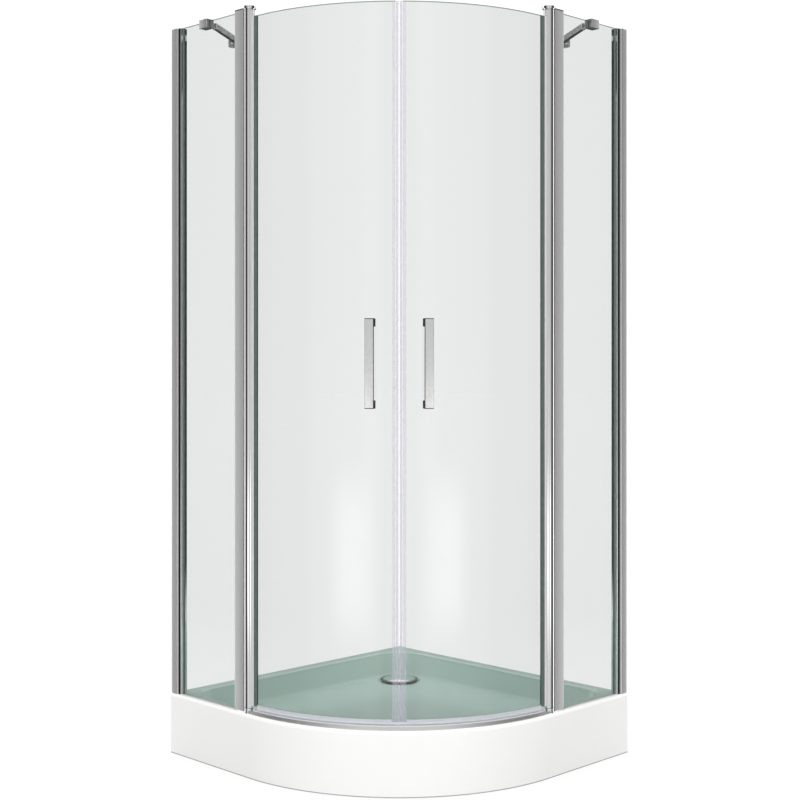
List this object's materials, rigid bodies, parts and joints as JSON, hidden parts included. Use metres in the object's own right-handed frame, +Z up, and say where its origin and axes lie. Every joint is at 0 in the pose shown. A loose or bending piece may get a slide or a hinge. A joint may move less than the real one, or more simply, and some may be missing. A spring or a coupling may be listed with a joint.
{
  "type": "shower enclosure",
  "caption": "Quarter-round corner shower enclosure: white tray, flat glass side panels in metal wall profiles, and bent glass doors that pivot outwards on full-height tubes",
  "frame": {"origin": "on the floor, under the middle of the square that the tray stands in", "axes": "+Z up; the walls are the planes x = -0.45 and y = +0.45 and meet at the back corner; the rounded front faces +X and -Y"},
  "size_m": [0.9, 0.9, 2.02],
  "materials": {
    "white_acrylic": "smooth glossy acrylic",
    "board": "raw chipboard",
    "zinc_steel": "bright zinc plated",
    "black_plastic": "moulded",
    "grey_plastic": "moulded",
    "black_rubber": "plain",
    "chrome_plate": "polished chrome plate",
    "satin_aluminium": "satin anodised",
    "bright_aluminium": "polished and anodised",
    "clear_glass": "clear toughened glass",
    "dark_gasket": "soft extruded strip",
    "clear_pvc": "translucent extruded strip",
    "magnet": "magnetic strip in a white jacket"
  },
  "bodies": {
    "frame": {"tray_shell": "white_acrylic", "tray_base_board": "board", "foot_rods": "zinc_steel", "foot_nuts": "zinc_steel", "foot_pads": "black_plastic", "waste_flange": "chrome_plate", "waste_seals": "black_rubber", "waste_trap": "grey_plastic", "threshold_rail": "bright_aluminium", "left_wall_channel": "satin_aluminium", "left_wall_channel_cap": "grey_plastic", "left_adjusting_profile": "bright_aluminium", "left_profile_screws": "zinc_steel", "left_fixed_glass": "clear_glass", "left_glazing_gaskets": "dark_gasket", "left_hinge_post": "satin_aluminium", "left_top_pivot_bracket": "chrome_plate", "left_bottom_pivot_bracket": "chrome_plate", "left_pivot_pins": "zinc_steel", "left_brace_clamp": "chrome_plate", "left_brace_arm": "chrome_plate", "left_brace_wall_foot": "chrome_plate", "left_brace_screws": "zinc_steel", "right_wall_channel": "satin_aluminium", "right_wall_channel_cap": "grey_plastic", "right_adjusting_profile": "bright_aluminium", "right_profile_screws": "zinc_steel", "right_fixed_glass": "clear_glass", "right_glazing_gaskets": "dark_gasket", "right_hinge_post": "satin_aluminium", "right_top_pivot_bracket": "chrome_plate", "right_bottom_pivot_bracket": "chrome_plate", "right_pivot_pins": "zinc_steel", "right_brace_clamp": "chrome_plate", "right_brace_arm": "chrome_plate", "right_brace_wall_foot": "chrome_plate", "right_brace_screws": "zinc_steel"},
    "left_door": {"left_hinge_tube": "bright_aluminium", "left_pivot_bushes": "grey_plastic", "left_door_gaskets": "dark_gasket", "left_door_glass": "clear_glass", "left_magnetic_seal": "clear_pvc", "left_magnet_strip": "magnet", "left_bottom_seal": "clear_pvc", "left_handle": "chrome_plate", "left_handle_screws": "zinc_steel", "left_handle_pads": "clear_pvc", "left_handle_rosettes": "chrome_plate"},
    "right_door": {"right_hinge_tube": "bright_aluminium", "right_pivot_bushes": "grey_plastic", "right_door_gaskets": "dark_gasket", "right_door_glass": "clear_glass", "right_magnetic_seal": "clear_pvc", "right_magnet_strip": "magnet", "right_bottom_seal": "clear_pvc", "right_handle": "chrome_plate", "right_handle_screws": "zinc_steel", "right_handle_pads": "clear_pvc", "right_handle_rosettes": "chrome_plate"},
    "waste_cover": {"drain_cover": "chrome_plate"}
  },
  "joints": [
    {"name": "left_door_hinge", "type": "hinge", "parent": "frame", "child": "left_door", "pos_m": [-0.126, -0.43, 1], "axis": [0, 0, -1], "range_deg": [0, 95]},
    {"name": "right_door_hinge", "type": "hinge", "parent": "frame", "child": "right_door", "pos_m": [0.43, 0.126, 1], "axis": [0, 0, 1], "range_deg": [0, 95]},
    {"name": "drain_cover_lift", "type": "slide", "parent": "frame", "child": "waste_cover", "axis": [0, 0, 1], "range_m": [0, 0.06]}
  ]
}
